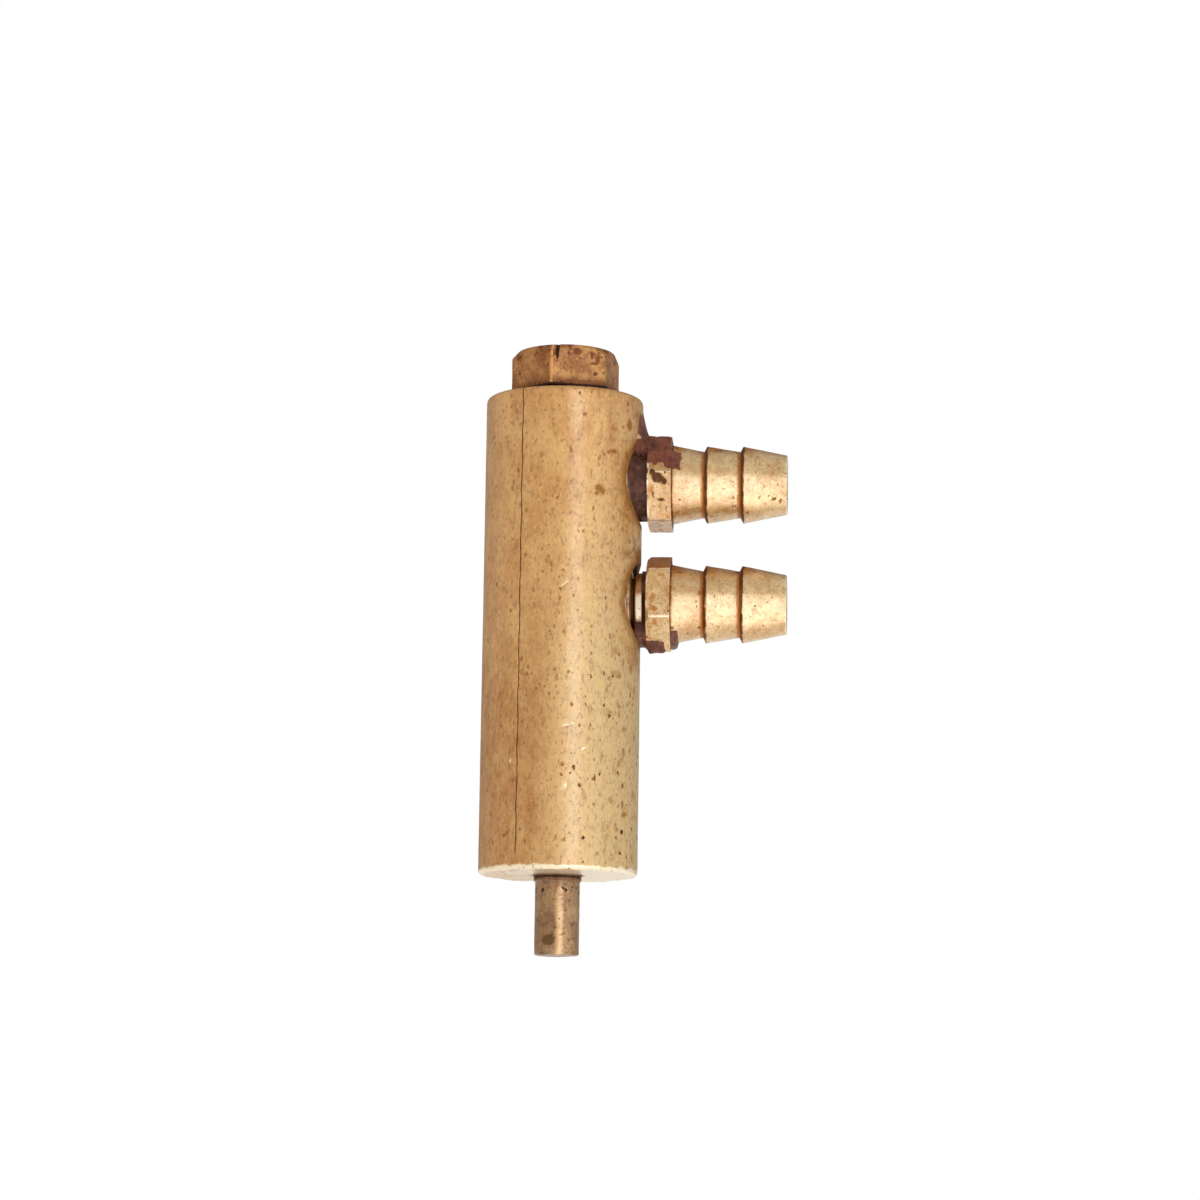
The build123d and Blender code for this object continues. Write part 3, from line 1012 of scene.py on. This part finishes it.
# dark blots on the upper hexagon: angle, x, half width in degrees, half length, strength
HEX_BLOTS = [
    (-4, 5.80, 5.0, 0.22, 1.0),
    (2, 6.10, 7.0, 0.42, 1.0),
    (6, 6.55, 5.0, 0.22, 0.9),
    (23, 5.84, 8.0, 0.13, 0.60),
    (30, 6.34, 4.0, 0.36, 0.70),
    (41, 6.66, 7.5, 0.11, 0.60),
]


def chamfer_r(port, x):
    """Turned chamfer of the flange's corners, on the side that faces the barrel."""
    if port == "upper":
        return 3.02 + 2.0 * (x - FLANGE_X[0])
    return 2.85 + 1.5 * (x - FLANGE_X[0])


def make_barb(port):
    level = PORT_Z[port]
    outline = arc_outline(barb_corners(), 0.10)
    bore = (outline[:, 0] < BARB_BORE_R + 0.01) & (np.arange(len(outline)) % 4 != 0)
    outline = outline[~bore]

    def shape(radius, height, angle):
        in_flange = (height > FLANGE_X[0] - 0.01) & (height < FLANGE_X[1] + 0.01)
        side = hex_radius(angle, FLANGE_AF, HEX_CORNER[port])
        side = np.minimum(side, chamfer_r(port, height))
        worn = np.where(in_flange, np.minimum(radius, side), radius)
        outer = smooth(BARB_BORE_R + 0.1, BARB_BORE_R + 0.5, worn)
        seed = 41 if port == "upper" else 47
        waviness = 0.012 * cloud(round_x(height, worn, angle), 0.8, seed)
        return worn + outer * waviness, height

    fine = [(HEX_CORNER[port] + 60 * k, 2.4, 0.6) for k in range(6)]
    barb = revolve(f"{port}_hose_barb", outline, columns(3, fine), shape, "X", (0, 0, level))
    shade(barb, 30)
    paint_barb(barb, port)
    finish_piece(barb, barb_brass, "valve", [f"{port}_barb"])


def paint_barb(barb, port):
    at = points_mm(barb)
    x = at[:, 0]
    radius, angle = polar_x(at, PORT_Z[port])
    outside = smooth(BARB_BORE_R + 0.2, BARB_BORE_R + 0.5, radius)
    grime_and_shade, dirt_and_shade, wear_and_highlight = [], [], []
    # the tops of the barbs are browner: partly brown film, partly painted shade on the side
    # facing up, away from the lights below
    on_top = bell(around(angle, -100), 62)
    for i, (start, _, _) in enumerate(BARB_RINGS):
        groove = bell(x - start + 0.14, 0.24 if i else 0.34)
        grime_and_shade.append(groove * smooth(2.9, 2.6, radius))
        uneven = 0.25 * cloud(at, 0.5, 58)
        line = (0.62 + 0.3 * on_top + uneven) * bell(x - start + 0.02, 0.15)
        dirt_and_shade.append(line * smooth(2.9, 2.6, radius))
        spread = smooth(start + 1.7, start + 0.2, x) * smooth(start - 0.1, start, x)
        grime_and_shade.append(1.3 * on_top * spread)
    # browner along the top past the flange: partly brown film, partly painted shade
    grime_and_shade.append(0.80 * bell(around(angle, -98), 46) * smooth(6.9, 7.1, x))
    flecks = np.clip(2.6 * cloud(at, 0.36, 63 if port == "upper" else 66) - 0.35, 0, 1)
    flecks = flecks * bell(around(angle, -82), 40) * smooth(6.95, 7.1, x) * smooth(13.2, 12.2, x)
    dirt_and_shade.append(0.75 * flecks)
    first_cone = smooth(6.9, 7.0, x) * smooth(9.2, 8.6, x)
    grime_and_shade.append(0.34 * first_cone)
    in_hex = (x > FLANGE_X[0] - 0.02) & (x < FLANGE_X[1] + 0.02)
    hex_patch = np.clip(1.8 * cloud(at, 0.5, 52, 3), 0, 1) * in_hex
    grime_and_shade.append(0.70 * hex_patch)
    neck = (x > WASHER_HIGH[0]) & (x < FLANGE_X[0])
    # painted shade in the pocket: the neck's thread roots, and its sides away from the front
    dirt_and_shade.append(0.75 * neck * smooth(1.95, 1.75, radius))
    dirt_and_shade.append(0.34 * neck * smooth(20, 45, np.abs(around(angle, 10))))
    grime_and_shade.append(0.6 * neck)
    if port == "lower":
        top_facet = in_hex * smooth(-34, -40, angle) * smooth(-150, -120, angle)
        grime_and_shade.append(0.75 * top_facet)
        dirt_and_shade.append(0.30 * top_facet)
        smear = in_hex * bell(around(angle, 72), 18) * smooth(0.9, 0.2, np.abs(x - 6.1))
        dirt_and_shade.append(0.55 * smear)
    else:
        for centre, blot_x, half_angle, half_x, strength in HEX_BLOTS:
            blot = bell(around(angle, centre), half_angle) * bell(x - blot_x, half_x)
            dirt_and_shade.append(strength * in_hex * blot)
        grime_and_shade.append(0.46 * in_hex)
    for start, _, _ in BARB_RINGS[1:]:
        wear_and_highlight.append(0.4 * bell(x - start - 0.32, 0.12))
    corner = 0
    for k in range(6):
        corner = np.maximum(corner, 0.75 * bell(around(angle, HEX_CORNER[port] + 60 * k), 2.2))
    edge = np.maximum(0.55 * bell(x - FLANGE_X[1], 0.08), 0.85 * bell(x - FLANGE_X[0], 0.16))
    on_rim = in_hex * smooth(2.7, 2.9, radius)
    wear_and_highlight.append(0.85 * np.maximum(corner, edge) * on_rim)
    wear_and_highlight.append(0.7 * bell(x - BARB_END, 0.12))
    # painted highlight on the neck's thread crests, on the side facing the camera and key light
    crest = neck * smooth(1.85, 1.95, radius)
    wear_and_highlight.append(0.9 * crest * bell(around(angle, 12), 32))
    for name, layers in (("grime_and_shade", grime_and_shade), ("dirt_and_shade", dirt_and_shade), ("wear_and_highlight", wear_and_highlight)):
        paint(barb, name, *(layer * outside for layer in layers))


for port in PORT_Z:
    make_barb(port)


# ---- port washers
def make_washer(port):
    corners = [
        (PORT_THREAD_R + 0.03, WASHER_LOW[0], 0.02),
        (WASHER_R, WASHER_LOW[0], 0.05),
        (WASHER_R, WASHER_HIGH[0], 0.10),
        (PORT_THREAD_R + 0.03, WASHER_HIGH[0], 0.05),
    ]

    def shape(radius, height, angle):
        warp = 0.02 * cloud(round_x(height, radius, angle), 0.9, 61)
        return radius, height + warp * (height > WASHER_LOW[0] + 0.1)

    washer = revolve(
        f"{port}_washer", arc_outline(corners, 0.1), columns(4), shape, "X", (0, 0, PORT_Z[port])
    )
    shade(washer)
    finish_piece(washer, washer_brass, "valve", [f"{port}_port_washer"])


for port in PORT_Z:
    make_washer(port)


# ---- thread sealant
def metal_radius(port, x, angle):
    """Radius of the barb fitting under the sealant."""
    thread = PORT_THREAD_R - 0.42
    side = np.minimum(hex_radius(angle, FLANGE_AF, HEX_CORNER[port]), chamfer_r(port, x))
    cone = 2.5 - 0.18 * (x - FLANGE_X[1])
    under = np.where(x < FLANGE_X[0], thread, side)
    return np.where(x > FLANGE_X[1], cone, under)


def upper_sealant_radius(x, angle, metal, ragged):
    """Outer surface of the cured sealant round the upper port (0 faces the camera, -90 up)."""
    over_hex = patch(x, angle, 5.9, 1.0, -92, 74)
    on_cone = patch(x, angle, 7.05, 0.50, -30, 17)
    outer = metal + 0.12 * over_hex + 0.09 * on_cone + 0.07 * ragged - 0.045
    fill = POCKET_R - 0.04 - 0.32 * smooth(4.25, 4.9, x) + 0.06 * ragged
    outer = np.where(x < FLANGE_X[0] + 0.04, np.maximum(outer, fill), outer)
    # a fillet that climbs the barrel's wall above the port
    sideways = 4.0 * np.sin(np.radians(around(angle, -90)))
    wall_drop = BARREL_R - np.sqrt(BARREL_R**2 - sideways**2)
    up = bell(around(angle, -91), 25) * (1 + 0.30 * ragged)
    slope = np.clip((5.68 - wall_drop - x) / 0.68, 0, 1.2) ** 2.2
    climb = 3.0 + np.minimum(1.85 * slope, 1.95) * np.minimum(up, 1.03) + 0.07 * ragged
    return np.where((x < 5.68) & (up > 0.02), np.maximum(outer, climb), outer)


def lower_sealant_radius(x, angle, metal, ragged):
    """Outer surface of the little sealant left round the lower port."""
    in_neck = x < FLANGE_X[0]
    past_hex = x > FLANGE_X[1]
    neck = patch(x, angle, 5.30, 0.22, -80, 62) * in_neck
    clump = patch(x, angle, 5.10, 0.46, 78, 34) * in_neck
    under_hex = patch(x, angle, 5.95, 0.62, 84, 20)
    behind = patch(x, angle, 7.05, 0.34, 80, 26) * past_hex
    amount = 0.55 * neck + 1.20 * clump + 0.14 * under_hex + 0.42 * behind
    return metal + amount + 0.07 * ragged - 0.05


SEALANT_NOISE_R = 2.8  # radius at which the shells' raggedness is read
SEALANT_END = 7.75


def make_sealant(port):
    level = PORT_Z[port]
    start = WASHER_LOW[0] + 0.05 if port == "upper" else WASHER_HIGH[0]
    x = np.arange(start, SEALANT_END, 0.04)
    angles = np.arange(-180, 180, 1.5)
    grid_x, grid_angle = np.meshgrid(x, angles, indexing="ij")
    spots = round_x(grid_x, SEALANT_NOISE_R, grid_angle)
    ragged = cloud(spots, 0.55, 71 if port == "upper" else 77, 3)
    metal = metal_radius(port, grid_x, grid_angle)
    surface = upper_sealant_radius if port == "upper" else lower_sealant_radius
    outer = surface(grid_x, grid_angle, metal, ragged)
    inner = np.minimum(metal, outer) - 0.08
    rows = np.concatenate([outer, inner[::-1]])
    row_x = np.concatenate([grid_x, grid_x[::-1]])
    loop = np.stack([rows[:, 0], row_x[:, 0]], -1)
    sealant = revolve(
        f"{port}_sealant",
        loop,
        angles,
        lambda radius, height, angle: (rows, row_x),
        "X",
        (0, 0, level),
    )
    shade(sealant, 60)
    at = points_mm(sealant)
    radius, angle = polar_x(at, level)
    in_pocket = smooth(5.55, 5.35, at[:, 0]) * smooth(3.1, 2.8, radius)
    # painted shade on the sealant deep in the pocket; the lower port's sealant is darker all
    # over
    paint(sealant, "dirt_and_shade", np.maximum(0.62 * in_pocket, 0.45 * (port == "lower")))
    smear = patch(at[:, 0], angle, 5.0, 0.45, -58, 7) * smooth(3.0, 3.2, radius)
    paint(sealant, "wear_and_highlight", 0.6 * smear * (port == "upper"))
    finish_piece(sealant, sealant_red, "valve", [f"{port}_thread_sealant"])


for port in PORT_Z:
    make_sealant(port)


def make_spring():
    """A coil between the spool and the plug's pocket."""
    low, high = box_mm("return_spring")
    coil_r = high[0] - SPRING_WIRE_R
    along = np.linspace(0, 1, 24 * SPRING_TURNS + 1)
    turn = 2 * math.pi * SPRING_TURNS * along
    middle_z = low[2] + SPRING_WIRE_R + (high[2] - low[2] - 2 * SPRING_WIRE_R) * along
    outward = np.stack([np.cos(turn), np.sin(turn), 0 * turn], -1)
    middle = coil_r * outward + np.stack([0 * turn, 0 * turn, middle_z], -1)
    sides = 10
    verts = []
    for k in range(sides):
        a = 2 * math.pi * k / sides
        verts.append(middle + SPRING_WIRE_R * (math.cos(a) * outward + math.sin(a) * UP))
    verts = np.stack(verts, 1)
    rows = len(along)
    index = np.arange(rows * sides).reshape(rows, sides)
    faces = [tuple(map(int, index[0])), tuple(map(int, index[-1]))]
    for this, following in zip(index, index[1:]):
        corners = zip(this, np.roll(this, -1), np.roll(following, -1), following)
        faces += [tuple(map(int, face)) for face in corners]
    spring = new_piece("coil_spring", list(map(tuple, verts.reshape(-1, 3) * MM)), faces)
    shade(spring, 60)
    finish_piece(spring, spring_wire, "valve", ["return_spring"])
    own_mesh(spring)


make_spring()


# ---- hidden CAD nodes
for node in ("upper_spool_seal", "lower_spool_seal"):
    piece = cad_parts[node]
    dress(piece, seal_black)
    piece.data.shade_smooth()


# ---- camera
def away(azimuth, elevation):
    """Direction from the valve, azimuth from the front towards the barbs, in degrees."""
    a, e = math.radians(azimuth), math.radians(elevation)
    return Vector((math.sin(a) * math.cos(e), -math.cos(a) * math.cos(e), math.sin(e)))


def make_camera():
    """Slightly below the valve and to the barbs' side, turned a little so that it leans."""
    back = away(4.0, -9.22)
    roll = math.radians(0.83)
    distance = 234.9 * MM
    target = Vector((2.412, 0, 17.527)) * MM
    camera = add_object("camera", bpy.data.cameras.new("camera"))
    facing = back.to_track_quat("Z", "Y").to_matrix() @ Matrix.Rotation(roll, 3, "Z")
    camera.matrix_world = Matrix.Translation(target + back * distance) @ facing.to_4x4()
    camera.data.sensor_width = 36
    camera.data.lens = 111.1
    camera.data.clip_start, camera.data.clip_end = 0.005, 50
    bpy.context.scene.camera = camera


make_camera()


# ---- light and floor
def softbox(name, azimuth, elevation, distance, size, power, colour=(1, 1, 1)):
    """An area light aimed at the middle of the valve, hidden from the camera."""
    middle = Vector((2, 0, 15)) * MM
    back = away(azimuth, elevation)
    light = bpy.data.lights.new(name, "AREA")
    light.shape = "RECTANGLE"
    light.size, light.size_y = size
    light.energy = power
    light.color = colour
    lamp = add_object(name, light)
    lamp.location = middle + back * distance
    lamp.rotation_mode = "QUATERNION"
    lamp.rotation_quaternion = back.to_track_quat("Z", "Y")
    lamp.visible_camera = False


def make_light():
    softbox("key_softbox", 23.5, -8, 0.30, (0.11, 0.34), 0.24, (0.93, 0.99, 1.06))
    softbox("side_softbox", 54, -8, 0.30, (0.20, 0.34), 0.08, (0.96, 1.0, 0.94))
    softbox("low_softbox", 36, -52, 0.16, (0.18, 0.10), 0.065)
    world = bpy.data.worlds.new("studio")
    bpy.context.scene.world = world
    world.use_nodes = True
    n = Nodes(world.node_tree)
    # a pale room: brighter below, dimmer and warmer above and behind
    towards = n.add("ShaderNodeTexCoord").outputs["Generated"]
    axes = n.add("ShaderNodeSeparateXYZ", {"Vector": towards}).outputs
    above = n.band(axes["Z"], -0.05, 0.75)
    below = n.band(axes["Z"], -0.10, -0.60)
    behind = n.maths("MULTIPLY", n.band(axes["Y"], 0.0, 0.9), n.band(axes["Z"], -0.22, -0.02))
    level = n.maths("SUBTRACT", 0.87, n.maths("MULTIPLY", above, 0.20))
    level = n.maths("SUBTRACT", level, n.maths("MULTIPLY", behind, 0.47))
    level = n.maths("ADD", level, n.maths("MULTIPLY", below, 0.35))
    tint = n.mix(n.band(axes["X"], -0.8, 0.8), (1.0, 0.90, 0.78), (0.99, 1.0, 0.93))
    seen = n.add("ShaderNodeLightPath").outputs["Is Camera Ray"]
    colour = n.mix(seen, tint, (1, 1, 1))
    strength = n.maths("MAXIMUM", level, seen)
    background = n.add("ShaderNodeBackground", {"Color": colour, "Strength": strength})
    n.add("ShaderNodeOutputWorld", {"Surface": background.outputs[0]})
    bpy.context.scene.view_settings.view_transform = "Standard"


def make_floor():
    material, n = new_material("studio_floor")
    grain = n.clouds(20, detail=2)
    colour = n.mix(grain, (0.86, 0.86, 0.85), (0.90, 0.90, 0.89))
    # a light table: pale and faintly lit from inside, so it bounces light up at the valve
    n.surface({"Base Color": colour, "Roughness": 0.9, "Emission Strength": 0.35})
    mesh = bpy.data.meshes.new("studio_floor")
    half, level = 3.0, -0.20
    sides = ((-1, -1), (1, -1), (1, 1), (-1, 1))
    mesh.from_pydata([(half * a, half * b, level) for a, b in sides], [], [(0, 1, 2, 3)])
    mesh.materials.append(material)
    floor = add_object("studio_floor", mesh)


make_light()
make_floor()
